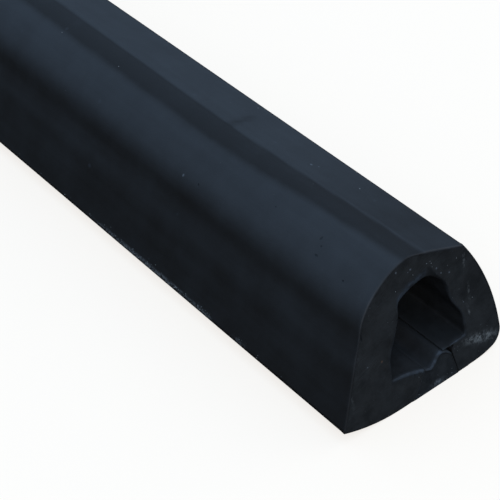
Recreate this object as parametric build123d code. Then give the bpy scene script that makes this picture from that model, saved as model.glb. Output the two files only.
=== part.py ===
from build123d import *
import os

# A cable protector ramp: a thick rubber arch laid along the ground over a cable.
# It runs along Y, its section lies in XZ, and the ground is Z = 0.
# The arch flexes at the thin web in its crown, so that the slit in its base opens
# for the cable. A wedge-shaped rubber strip closes the slit from below.

# Overall sizes, in millimetres
length = 600.0
base_width = 110.0
height = 78.0

# Outside of the arch
left_toe_lift = 6.6
left_toe_run = 37.0
right_toe_lift = 4.6
right_toe_run = 24.0
right_toe_radius = 7.5
left_shoulder_in = 17.7
left_shoulder_drop = 24.1
left_haunch_in = 30.6
left_haunch_drop = 8.2
right_shoulder_in = 20.3
right_shoulder_drop = 10.6
right_flank_bulge = 5.0
crown_x = -2.5
valley_x = 11.0
valley_drop = 3.1
valley_fall = 0.30

# Cable channel inside the arch
channel_x = 4.6
channel_width = 50.4
channel_side_height = 9.0
base_thickness = 18.2
crown_thickness = 15.0
waist_width = 36.0
waist_below_roof = 16.0
waist_lean = 0.25
eave_width = 31.0
left_eave_drop = 6.5
right_eave_drop = 11.0
left_roof_half = 9.0
right_roof_half = 4.0
notch_left = 4.0
notch_right = 7.0
notch_right_drop = 8.0
notch_depth = 3.8

# Slit in the base and the strip that closes it
slit_x = 10.0
strip_top_width = 19.0
strip_recess = 5.0
strip_left_flare = 9.2
strip_right_flare = 3.2
dome_right = 4.5
dome_rise = 4.3
dome_steepness = 2.0
hollow_left = 5.5
hollow_drop = 1.0
hollow_slope = 0.2
left_lip_droop = 4.6
left_lip_slope = 0.5
right_lip_droop = 0.7

# Working clearances
strip_gap = 0.3
hinge_gap = 0.3
hinge_radius = 8.6
past_ground = 1.0

# The front end is cut by hand, and leans back at the top
end_lean = 14.2

# Places that follow from the sizes above
toe_x = base_width / 2
roof_z = height - crown_thickness
notch_z = roof_z + notch_depth
valley_z = height - valley_drop
hinge_z = (valley_z + notch_z) / 2
strip_height = base_thickness - strip_recess
strip_left_x = slit_x - strip_top_width / 2
strip_right_x = slit_x + strip_top_width / 2
channel_left_x = channel_x - channel_width / 2
channel_right_x = channel_x + channel_width / 2
reach = 2 * max(length, base_width, height)


def outer_section():
    """The outline of the whole rubber arch, as a face with x across and y up."""
    left_toe = Vector(-toe_x, left_toe_lift)
    right_toe = Vector(toe_x, right_toe_lift)
    left_base = Vector(-toe_x + left_toe_run, 0)
    right_base = Vector(toe_x - right_toe_run, 0)
    left_shoulder = Vector(-toe_x + left_shoulder_in, height - left_shoulder_drop)
    left_haunch = Vector(-toe_x + left_haunch_in, height - left_haunch_drop)
    right_shoulder = Vector(toe_x - right_shoulder_in, height - right_shoulder_drop)
    crown = Vector(crown_x, height)
    valley = Vector(valley_x, valley_z)
    down_the_left = left_toe - left_shoulder
    along_the_valley = Vector(-1, valley_fall)

    base = Line(left_base, right_base)
    right_underside = TangentArc(right_base, right_toe, tangent=(1, 0))
    right_flank = SagittaArc(right_toe, right_shoulder, -right_flank_bulge)
    right_crown = Spline(right_shoulder, valley, tangents=(along_the_valley, along_the_valley))
    crown_round = Spline(valley, crown, tangents=(along_the_valley, (-1, 0)))
    left_crown = Spline(crown, left_haunch, left_shoulder, tangents=((-1, 0), down_the_left))
    left_flank = Line(left_shoulder, left_toe)
    left_underside = TangentArc(left_base, left_toe, tangent=(-1, 0))
    outline = Wire([base, right_underside, right_flank, right_crown,
                    crown_round, left_crown, left_flank, left_underside])
    face = make_face(outline)
    corner = face.vertices().sort_by_distance(right_toe)[0]
    return fillet(corner, right_toe_radius)


def channel_side(side, eave_drop, roof_half):
    """One side of the channel, from its lower corner to its roof: side is -1 or +1."""
    corner = Vector(channel_x + side * channel_width / 2, base_thickness)
    haunch = corner + Vector(0, channel_side_height)
    waist = Vector(channel_x + side * waist_width / 2, roof_z - waist_below_roof)
    eave = Vector(channel_x + side * eave_width / 2, roof_z - eave_drop)
    roof = Vector(channel_x + side * roof_half, roof_z)
    inward_and_up = (-waist_lean * side, 1)
    return [Line(corner, haunch),
            Spline(haunch, waist, tangents=((0, 1), inward_and_up)),
            Spline(waist, eave, roof, tangents=(inward_and_up, (-side, 0)))]


def channel_section():
    """The bell-shaped cable channel, with the notch in its roof and its sagging floor."""
    left_floor = Vector(channel_left_x, base_thickness)
    right_floor = Vector(channel_right_x, base_thickness)
    left_tip = Vector(strip_left_x, base_thickness - left_lip_droop)
    right_tip = Vector(strip_right_x, base_thickness - right_lip_droop)
    roof = Line((channel_x - left_roof_half, roof_z), (channel_x + right_roof_half, roof_z))
    left_lip_top = Spline(left_floor, left_tip, tangents=((1, 0), (1, -left_lip_slope)))
    lip_to_lip = Line(left_tip, right_tip)
    right_lip_top = Line(right_tip, right_floor)
    outline = Wire([*channel_side(-1, left_eave_drop, left_roof_half), roof,
                    *channel_side(1, right_eave_drop, right_roof_half),
                    right_lip_top, lip_to_lip, left_lip_top])
    inside = (channel_x, roof_z - notch_right_drop)
    notch = make_face(Polyline((slit_x - notch_left, roof_z), (slit_x, notch_z),
                               (slit_x + notch_right, roof_z - notch_right_drop),
                               inside, close=True))
    return make_face(outline) + notch


def strip_section():
    """The strip's section: wider at the ground, with a hollow and a dome along its top."""
    left, right = strip_left_x, strip_right_x
    sides = Polyline((left, strip_height), (left - strip_left_flare, 0),
                     (right + strip_right_flare, 0), (right, strip_height))
    dome = (slit_x + dome_right, strip_height + dome_rise)
    hollow = (slit_x - hollow_left, strip_height - hollow_drop)
    top = Spline((right, strip_height), dome, hollow, (left, strip_height),
                 tangents=((-1, dome_steepness), (-1, hollow_slope)))
    return make_face(Wire([*sides.edges(), top]))


def slit_section():
    """The whole slit that the strip closes, from the ground up into the channel."""
    left, right = strip_left_x - strip_gap, strip_right_x + strip_gap
    left_slope = strip_left_flare / strip_height
    right_slope = strip_right_flare / strip_height
    left_foot, right_foot = left - strip_left_flare, right + strip_right_flare
    return make_face(Polyline((left_foot - left_slope * past_ground, -past_ground),
                              (left, strip_height), (left, base_thickness),
                              (right, base_thickness), (right, strip_height),
                              (right_foot + right_slope * past_ground, -past_ground),
                              close=True))


def side_region(side, edge_x):
    """Everything beyond edge_x on one side, as a large rectangle: side is -1 or +1."""
    return Pos(edge_x + side * reach / 2, 0) * Rectangle(reach, 2 * reach)


def run_along(section):
    """Runs a section along the ramp, with its front end cut at the lean."""
    solid = extrude(Plane.XZ * section, amount=length / 2, both=True)
    ahead = Box(reach, reach, reach, align=(Align.CENTER, Align.MAX, Align.CENTER))
    return solid - Pos(0, -length / 2, 0) * Rot(-end_lean, 0, 0) * ahead


def write(name, solid):
    """Writes one node's solid."""
    part = solid.solids()[0] if len(solid.solids()) == 1 else solid
    part.label = name
    export_step(part, f"parts/{name}.step")


rubber = outer_section() - channel_section() - slit_section()
hinge_place = Pos(slit_x, hinge_z)
knuckle = hinge_place * Circle(hinge_radius)
socket = hinge_place * Circle(hinge_radius + hinge_gap)
above_roof = Pos(0, roof_z + reach / 2) * Rectangle(2 * reach, reach)
below_floor = Pos(0, base_thickness - reach / 2) * Rectangle(2 * reach, reach)
left_half = rubber & side_region(-1, slit_x)
right_half = rubber & side_region(1, slit_x)
left_foot = below_floor & side_region(1, channel_left_x)
right_foot = below_floor & side_region(-1, channel_right_x)

os.makedirs("parts", exist_ok=True)
write("crown_hinge", run_along(rubber & knuckle))
write("left_wall", run_along(left_half - knuckle - left_foot))
write("left_lip", run_along(left_half & left_foot))
write("right_wall", run_along(right_half - socket - right_foot))
write("right_lip", run_along(right_half & right_foot))
write("closing_strip", run_along(strip_section()))
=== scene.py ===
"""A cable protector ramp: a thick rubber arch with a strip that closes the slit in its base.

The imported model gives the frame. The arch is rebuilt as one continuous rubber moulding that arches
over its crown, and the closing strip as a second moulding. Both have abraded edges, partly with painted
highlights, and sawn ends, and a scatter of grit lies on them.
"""

import logging
import math
from dataclasses import dataclass, field, replace
from enum import Enum, IntEnum

import bpy
import numpy as np
from bpy.types import ID, Material, Node, NodeSocket, NodeTree, Object
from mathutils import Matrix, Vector, geometry, noise


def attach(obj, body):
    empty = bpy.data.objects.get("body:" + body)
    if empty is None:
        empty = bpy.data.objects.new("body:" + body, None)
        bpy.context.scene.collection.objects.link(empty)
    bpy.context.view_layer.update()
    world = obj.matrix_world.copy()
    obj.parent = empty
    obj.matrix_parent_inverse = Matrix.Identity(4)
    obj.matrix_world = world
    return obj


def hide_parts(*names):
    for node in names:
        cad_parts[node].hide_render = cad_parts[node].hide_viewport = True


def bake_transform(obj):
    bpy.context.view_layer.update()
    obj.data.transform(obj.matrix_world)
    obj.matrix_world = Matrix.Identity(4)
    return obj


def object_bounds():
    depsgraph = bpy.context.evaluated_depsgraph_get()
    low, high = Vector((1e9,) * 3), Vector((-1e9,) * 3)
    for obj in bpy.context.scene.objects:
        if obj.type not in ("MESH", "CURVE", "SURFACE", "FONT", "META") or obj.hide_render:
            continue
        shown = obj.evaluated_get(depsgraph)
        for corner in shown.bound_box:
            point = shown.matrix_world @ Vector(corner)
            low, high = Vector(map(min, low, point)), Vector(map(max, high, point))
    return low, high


Sockets = bpy.types.bpy_prop_collection
LOG = logging.getLogger("cable_ramp")
MM = 0.001

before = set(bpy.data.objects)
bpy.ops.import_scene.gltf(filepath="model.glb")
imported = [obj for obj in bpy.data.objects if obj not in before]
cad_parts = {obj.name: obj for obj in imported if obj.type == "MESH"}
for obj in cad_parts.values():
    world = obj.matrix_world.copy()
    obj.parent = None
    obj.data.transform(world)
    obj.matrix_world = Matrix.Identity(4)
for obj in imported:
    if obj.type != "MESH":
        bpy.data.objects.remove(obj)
CAD_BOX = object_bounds()


class Zone(IntEnum):
    """The kinds of surface on a moulding, which are also its material slots."""

    SKIN = 0
    CUT = 1
    CHANNEL = 2


class Body(Enum):
    """The bodies that the pieces ride on."""

    LEFT = "left_half"
    RIGHT = "right_half"
    STRIP = "strip"


# --- Runs of points in the section's plane: x runs across the ramp, z runs up ---


def line(start: tuple, end: tuple, step: float) -> list[tuple]:
    """Points along a straight run, at most step apart, without its last point."""
    count = max(1, math.ceil(math.dist(start, end) / step))
    return [tuple(np.add(start, np.subtract(end, start) * i / count)) for i in range(count)]


def sweep(start: tuple, end: tuple, out: tuple, into: tuple, step: float) -> list[tuple]:
    """Points along a smooth run that leaves start along out and reaches end along into.

    Args:
        start: First point, (x, z).
        end: Last point, (x, z).
        out: Direction in which the run leaves start.
        into: Direction in which the run reaches end.
        step: Largest distance between points.

    Returns:
        The points, from start up to but not including end.
    """
    chord = math.dist(start, end)
    p, q = np.array(start), np.array(end)
    a = np.array(out) / np.linalg.norm(out) * chord
    b = np.array(into) / np.linalg.norm(into) * chord
    count = max(2, math.ceil(chord * 1.1 / step))
    points = []
    for i in range(count):
        t = i / count
        h = (2 * t**3 - 3 * t**2 + 1, t**3 - 2 * t**2 + t, -2 * t**3 + 3 * t**2, t**3 - t**2)
        points.append(tuple(h[0] * p + h[1] * a + h[2] * q + h[3] * b))
    return points


def bow(start: tuple, end: tuple, rise: float, step: float) -> list[tuple]:
    """Points along a circular arc that stands rise to the right of the run from start to end.

    Args:
        start: First point, (x, z).
        end: Last point, (x, z).
        rise: Height of the arc over its chord.
        step: Largest distance between points.

    Returns:
        The points, from start up to but not including end.
    """
    chord = math.dist(start, end)
    radius = (chord**2 / 4 + rise**2) / (2 * rise)
    along = np.subtract(end, start) / chord
    right = np.array((along[1], -along[0]))
    centre = np.add(start, end) / 2 + right * (rise - radius)
    half = math.asin(chord / 2 / radius)
    count = max(2, math.ceil(chord / step))
    angles = [-half + 2 * half * i / count for i in range(count)]
    return [tuple(centre + radius * (right * math.cos(a) + along * math.sin(a))) for a in angles]


def through(knots: np.ndarray, step: float) -> np.ndarray:
    """Rows along a smooth run through every knot, without the last one.

    Args:
        knots: One row for each knot. The first two columns are its place, (x, z), and any others
            are values that change smoothly along the run with it.
        step: Largest distance between points.

    Returns:
        The rows, from the first knot up to but not including the last.
    """
    ends = np.vstack([2 * knots[0] - knots[1], knots, 2 * knots[-1] - knots[-2]])
    rows = []
    for i in range(1, len(ends) - 2):
        a, b, c, d = ends[i - 1:i + 3]
        count = max(1, math.ceil(math.dist(b[:2], c[:2]) / step))
        for j in range(count):
            t = j / count
            rows.append(0.5 * (2 * b + (c - a) * t + (2 * a - 5 * b + 4 * c - d) * t**2
                               + (3 * b - a - 3 * c + d) * t**3))
    return np.array(rows)


def bell(value: float, middle: float, width: float) -> float:
    """A smooth bump of height 1 at middle, which fades over width on each side."""
    return math.exp(-(((value - middle) / width) ** 2))


def ease(value: float, low: float, high: float) -> float:
    """A smooth step from 0 at low to 1 at high."""
    t = min(1.0, max(0.0, (value - low) / (high - low)))
    return t * t * (3 - 2 * t)


@dataclass(frozen=True)
class Band:
    """A soft band of places: its middle, and how far it fades on each side."""

    middle: float
    width: float

    def at(self, place: float) -> float:
        """How strong the band is at a place, from 0 to 1."""
        return bell(place, self.middle, self.width)


@dataclass(frozen=True)
class EdgePoint:
    """One point of a section outline, and how its edge at the sawn ends is made.

    Its lip is set only where that edge is a broad bevel: the step, (x, z), from the point to the
    bevel's line on the sawn end.
    """

    place: tuple
    zone: Zone
    radius: float
    wear: float
    free: float
    lip: tuple | None = None


@dataclass
class Outline:
    """A closed section outline, counter-clockwise, with the solid on its left."""

    points: list[EdgePoint] = field(default_factory=list)
    bevel_flatness: float = 0.75
    bevel_free: float = 0.6

    def add(self, run: list, zone: Zone, radii: tuple, wear: tuple = (0.15, 0.15),
            free: float = 1.0) -> None:
        """Adds a run of points whose end edges are rounded.

        Args:
            run: The run's points, (x, z).
            zone: The kind of surface along the run.
            radii: Radius of the rounding towards the sawn end, at the run's start and end.
            wear: How pale the edge colour is, from 0 to 1, at the run's start and end: real abrasion,
                and painted highlight where it is high along the channel's edges.
            free: How freely the weathering may move the run.
        """
        for i, place in enumerate(run):
            radius, worn_and_highlight = (a + (b - a) * (i / len(run)) for a, b in (radii, wear))
            self.points.append(EdgePoint(tuple(place), zone, radius, worn_and_highlight, free))

    def add_seam(self, run: list, radii: tuple) -> None:
        """Adds a run that faces another piece across a narrow gap, so it gets no pale edge colour and
        isn't waved.
        """
        self.add(run, Zone.SKIN, radii, (0.0, 0.0), 0.0)

    def add_bevel(self, knots: np.ndarray, zone: Zone, depth: float, step: float) -> None:
        """Adds a run whose end edge is a broad bevel with a line of its own on the sawn end.

        Args:
            knots: One row for each knot: its place, (x, z), the bevel's edge on the sawn end,
                (x, z), and the wear value there, which paints the bevel's highlight.
            zone: The kind of surface along the run.
            depth: The bevel's depth along the ramp.
            step: Largest distance between points.
        """
        for row in through(knots, step):
            self.points.append(EdgePoint(tuple(row[:2]), zone, depth, float(row[4]),
                                         self.bevel_free, tuple(row[2:4] - row[:2])))

    def column(self, name: str) -> np.ndarray:
        """One value of every point, as an array."""
        return np.array([getattr(point, name) for point in self.points])

    def flatness(self) -> np.ndarray:
        """How flat each point's end edge is, from 0 for a full round to 1 for a plain chamfer."""
        return np.array([self.bevel_flatness if point.lip else 0.0 for point in self.points])

    def inward(self) -> np.ndarray:
        """The miter vectors that point into the solid.

        Returns:
            One (x, z) vector for each point, which moves both of its edges inwards by one unit.
        """
        here = self.column("place")
        ahead = np.roll(here, -1, axis=0) - here
        ahead /= np.linalg.norm(ahead, axis=1, keepdims=True)
        normal = np.stack([-ahead[:, 1], ahead[:, 0]], axis=1)
        miter = normal + np.roll(normal, 1, axis=0)
        miter /= np.linalg.norm(miter, axis=1, keepdims=True)
        return miter / np.clip((miter * normal).sum(axis=1, keepdims=True), 0.5, 1.0)

    def reach(self) -> np.ndarray:
        """How each point's edge moves across the sawn end: the rounding, or the bevel.

        Returns:
            One (x, z) vector for each point.
        """
        moved = self.inward() * self.column("radius")[:, None]
        for row, point in zip(moved, self.points):
            if point.lip:
                row[:] = point.lip
        return moved


# --- Node trees ---


FLOAT, COLOUR, VECTOR = "NodeSocketFloat", "NodeSocketColor", "NodeSocketVector"
GEOMETRY = "NodeSocketGeometry"
SOCKET_KINDS = {float: FLOAT, int: "NodeSocketInt"}


@dataclass
class Wiring:
    """A short way to add and join nodes in one tree."""

    tree: NodeTree

    def add(self, kind: str, settings: dict | None = None, **inputs: object) -> Node:
        """Adds a node and fills its inputs.

        Args:
            kind: The node's type.
            settings: The node's own settings.
            **inputs: A value or a socket to join for each input, by its name with _ for a space.

        Returns:
            The new node.
        """
        node = self.tree.nodes.new(kind)
        for name, value in (settings or {}).items():
            setattr(node, name, value)
        for name, value in inputs.items():
            self.join(node.inputs[name.replace("_", " ")], value)
        return node

    def join(self, socket: NodeSocket, value: object) -> None:
        """Joins a socket to an output, or sets its value.

        Args:
            socket: The input.
            value: An output socket, or a plain value.
        """
        if isinstance(value, NodeSocket):
            self.tree.links.new(value, socket)
        else:
            socket.default_value = value

    def math(self, operation: str, a: object, b: object = 0.0) -> NodeSocket:
        """Adds a Math node.

        Args:
            operation: The node's operation.
            a: First value or socket.
            b: Second value or socket.

        Returns:
            The result's socket.
        """
        node = self.add("ShaderNodeMath", {"operation": operation})
        self.join(node.inputs[0], a)
        self.join(node.inputs[1], b)
        return node.outputs[0]

    def vector(self, operation: str, a: object, b: object = None) -> NodeSocket:
        """Adds a Vector Math node.

        Args:
            operation: The node's operation.
            a: First vector or socket.
            b: Second vector or socket, or the factor of SCALE, where the operation has one.

        Returns:
            The result's socket.
        """
        node = self.add("ShaderNodeVectorMath", {"operation": operation})
        self.join(node.inputs[0], a)
        if b is not None:
            self.join(node.inputs["Scale" if operation == "SCALE" else 1], b)
        return node.outputs["Value" if operation == "LENGTH" else "Vector"]

    def group(self, tree: NodeTree, **inputs: object) -> Sockets:
        """Places a shader group and returns its outputs by name."""
        return self.add("ShaderNodeGroup", {"node_tree": tree}, **inputs).outputs

    def attribute(self, name: str) -> NodeSocket:
        """Reads a value of the mesh in a shader."""
        return self.add("ShaderNodeAttribute", {"attribute_name": name}).outputs["Fac"]

    def named(self, name: str, kind: str = "FLOAT") -> NodeSocket:
        """Reads a value of the mesh in a geometry tree."""
        return self.add("GeometryNodeInputNamedAttribute", {"data_type": kind},
                        Name=name).outputs["Attribute"]

    def noise(self, vector: NodeSocket, scale: object, detail: float = 3.0,
              roughness: float = 0.55) -> NodeSocket:
        """Adds a noise texture, with scale repeats for each metre."""
        return self.add("ShaderNodeTexNoise", Vector=vector, Scale=scale, Detail=detail,
                        Roughness=roughness).outputs[0]

    def mask(self, value: NodeSocket, low: float, high: float) -> NodeSocket:
        """A smooth mask that runs from 0 at low to 1 at high."""
        return self.add("ShaderNodeMapRange", {"interpolation_type": "SMOOTHSTEP"}, Value=value,
                        From_Min=low, From_Max=high).outputs[0]

    def spread(self, share: NodeSocket, ends: tuple) -> NodeSocket:
        """Turns a share from 0 to 1 into a value between two ends."""
        return self.add("ShaderNodeMapRange", Value=share, To_Min=ends[0],
                        To_Max=ends[1]).outputs[0]

    def dots(self, vector: NodeSocket, scale: object, edge: tuple, chosen: tuple) -> NodeSocket:
        """Adds small round dots, one in each of some Voronoi cells.

        Args:
            vector: Where the pattern is read.
            scale: Cells for each metre.
            edge: The distances from a cell's middle at which its dot ends and is full.
            chosen: The range of the cells' random values over which dots come in.

        Returns:
            The dots' mask.
        """
        cells = self.add("ShaderNodeTexVoronoi", Vector=vector, Scale=scale)
        return self.math("MULTIPLY", self.mask(cells.outputs["Distance"], *edge),
                         self.mask(cells.outputs["Color"], *chosen))

    def blend(self, factor: object, a: object, b: object) -> NodeSocket:
        """Mixes two colours.

        Args:
            factor: Share of the second colour.
            a: First colour or socket.
            b: Second colour or socket.

        Returns:
            The colour's socket.
        """
        node = self.add("ShaderNodeMix", {"data_type": "RGBA"})
        for place, value in ((0, factor), (6, a), (7, b)):
            self.join(node.inputs[place], value)
        return node.outputs[2]


def rgba(colour: tuple) -> tuple:
    """A colour with full opacity."""
    return (*colour, 1.0)


def add_object(name: str, data: ID) -> Object:
    """Puts a new object in the scene.

    Args:
        name: The object's name.
        data: Its mesh, light or camera.

    Returns:
        The object.
    """
    made = bpy.data.objects.new(name, data)
    bpy.context.scene.collection.objects.link(made)
    return made


def new_material(name: str) -> tuple[Material, Wiring, Node]:
    """Starts a material.

    Args:
        name: The material's name.

    Returns:
        The material, its wiring and its shader.
    """
    made = bpy.data.materials.new(name)
    made.use_nodes = True
    return made, Wiring(made.node_tree), made.node_tree.nodes["Principled BSDF"]


def open_group(name: str, kind: str, inputs: dict,
               outputs: dict) -> tuple[Wiring, Sockets, Sockets]:
    """Starts a node group.

    Args:
        name: The group's name.
        kind: ShaderNodeTree or GeometryNodeTree.
        inputs: For each input's name, its first value, or its socket type where it has none.
        outputs: For each output's name, its socket type.

    Returns:
        The wiring, the group's inputs by name, and its outputs by name.
    """
    tree = bpy.data.node_groups.new(name, kind)
    for label, value in inputs.items():
        socket = SOCKET_KINDS.get(type(value), value)
        made = tree.interface.new_socket(label, in_out="INPUT", socket_type=socket)
        if socket is not value:
            made.default_value = value
    for label, socket in outputs.items():
        tree.interface.new_socket(label, in_out="OUTPUT", socket_type=socket)
    return (Wiring(tree), tree.nodes.new("NodeGroupInput").outputs,
            tree.nodes.new("NodeGroupOutput").inputs)


class SharedEffects:
    """The shader groups that more than one rubber finish uses."""

    def __init__(self) -> None:
        """Builds every group once."""
        self.grain = self._grain()
        self.dust = self._dust()
        self.wear = self._wear()
        self.streaks = self._streaks()
        self.pock = self._pock()

    def _grain(self) -> NodeTree:
        """Fine rubber grain with a few pits, as a height and a mottle mask.

        Returns:
            The group.
        """
        wiring, given, wanted = open_group(
            "rubber_grain", "ShaderNodeTree",
            {"Vector": VECTOR, "Grain Scale": 1500.0, "Mottle Scale": 90.0, "Pit Scale": 260.0,
             "Pits": 0.3},
            {"Height": FLOAT, "Mottle": FLOAT})
        fine = wiring.noise(given["Vector"], given["Grain Scale"], 2.0, 0.6)
        mottle = wiring.noise(given["Vector"], given["Mottle Scale"], 5.0, 0.62)
        hollow = wiring.dots(given["Vector"], given["Pit Scale"], (0.22, 0.05), (0.62, 0.72))
        height = wiring.math("ADD", wiring.math("MULTIPLY", fine, 0.5),
                             wiring.math("MULTIPLY", mottle, 0.9))
        deep = wiring.math("MULTIPLY", hollow, given["Pits"])
        wiring.join(wanted["Height"], wiring.math("SUBTRACT", height, deep))
        wiring.join(wanted["Mottle"], mottle)
        return wiring.tree

    def _dust(self) -> NodeTree:
        """A patchy film of dust with pale specks in it.

        Returns:
            The group.
        """
        wiring, given, wanted = open_group(
            "dust_film", "ShaderNodeTree",
            {"Vector": VECTOR, "Colour": COLOUR, "Dust": COLOUR, "Amount": 0.3,
             "Patch Scale": 30.0, "Speck Scale": 400.0, "Specks": 0.5},
            {"Colour": COLOUR, "Mask": FLOAT})
        patch = wiring.mask(wiring.noise(given["Vector"], given["Patch Scale"], 6.0, 0.68),
                            0.38, 0.72)
        film = wiring.math("MULTIPLY", patch, given["Amount"])
        dot = wiring.dots(given["Vector"], given["Speck Scale"], (0.20, 0.08), (0.80, 0.84))
        spot = wiring.math("MULTIPLY", dot, given["Specks"])
        mask = wiring.math("MAXIMUM", film, spot)
        wiring.join(wanted["Colour"], wiring.blend(mask, given["Colour"], given["Dust"]))
        wiring.join(wanted["Mask"], mask)
        return wiring.tree

    def _wear(self) -> NodeTree:
        """Pale colour along edges, from the wear and scuff values in the mesh: real abrasion, and
        painted highlight where the value is high along the channel's edges.

        Returns:
            The group.
        """
        wiring, given, wanted = open_group(
            "edge_wear_and_highlight", "ShaderNodeTree",
            {"Vector": VECTOR, "Colour": COLOUR, "Worn": COLOUR, "Scuffed": COLOUR,
             "Amount": 1.0},
            {"Colour": COLOUR, "Mask": FLOAT})
        edge, scuff = wiring.attribute("wear"), wiring.attribute("scuff")
        broken = wiring.mask(wiring.noise(given["Vector"], 260.0, 5.0, 0.65), 0.30, 0.62)
        rubbed_and_highlight = wiring.math("MULTIPLY", wiring.math("MULTIPLY", edge, broken), given["Amount"])
        torn = wiring.mask(wiring.noise(given["Vector"], 520.0, 5.0, 0.75), 0.40, 0.62)
        mark = wiring.math("MULTIPLY", scuff, torn)
        worn_and_highlight = wiring.blend(rubbed_and_highlight, given["Colour"], given["Worn"])
        wiring.join(wanted["Colour"], wiring.blend(mark, worn_and_highlight, given["Scuffed"]))
        wiring.join(wanted["Mask"], wiring.math("MAXIMUM", rubbed_and_highlight, mark))
        return wiring.tree

    def _streaks(self) -> NodeTree:
        """Faint marks drawn out along the ramp by the die.

        Returns:
            The group.
        """
        wiring, given, wanted = open_group(
            "length_streaks", "ShaderNodeTree", {"Vector": VECTOR, "Width": 120.0},
            {"Streaks": FLOAT})
        drawn = wiring.vector("MULTIPLY", given["Vector"], (1.0, 0.035, 1.0))
        wiring.join(wanted["Streaks"], wiring.noise(drawn, given["Width"], 4.0, 0.6))
        return wiring.tree

    def _pock(self) -> NodeTree:
        """One small blemish with a ragged edge, as a mask.

        Returns:
            The group.
        """
        wiring, given, wanted = open_group(
            "pock", "ShaderNodeTree", {"Vector": VECTOR, "Centre": VECTOR, "Size": VECTOR},
            {"Mask": FLOAT})
        away = wiring.vector("SUBTRACT", given["Vector"], given["Centre"])
        span = wiring.vector("LENGTH", wiring.vector("DIVIDE", away, given["Size"]))
        ragged = wiring.math("MULTIPLY", wiring.noise(given["Vector"], 900.0, 3.0, 0.7), 0.9)
        edge = wiring.math("ADD", span, ragged)
        wiring.join(wanted["Mask"], wiring.mask(edge, 1.45, 0.75))
        return wiring.tree


# --- Finishes ---


class PockKind(Enum):
    """What a small blemish is, which sets its colour and whether it is sunk."""

    PIT = "pit"
    PALE = "pale"
    BROWN = "brown"


# A pit's near-black tint is painted shade in its dent; the pale and brown tints are marks on the
# rubber.
POCK_TINTS = {PockKind.PIT: (0.0025, 0.003, 0.0035), PockKind.PALE: (0.11, 0.115, 0.12),
              PockKind.BROWN: (0.10, 0.055, 0.035)}


@dataclass(frozen=True)
class Pock:
    """A small blemish at one place on the rubber, with its half widths."""

    kind: PockKind
    centre: tuple
    size: tuple


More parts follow.
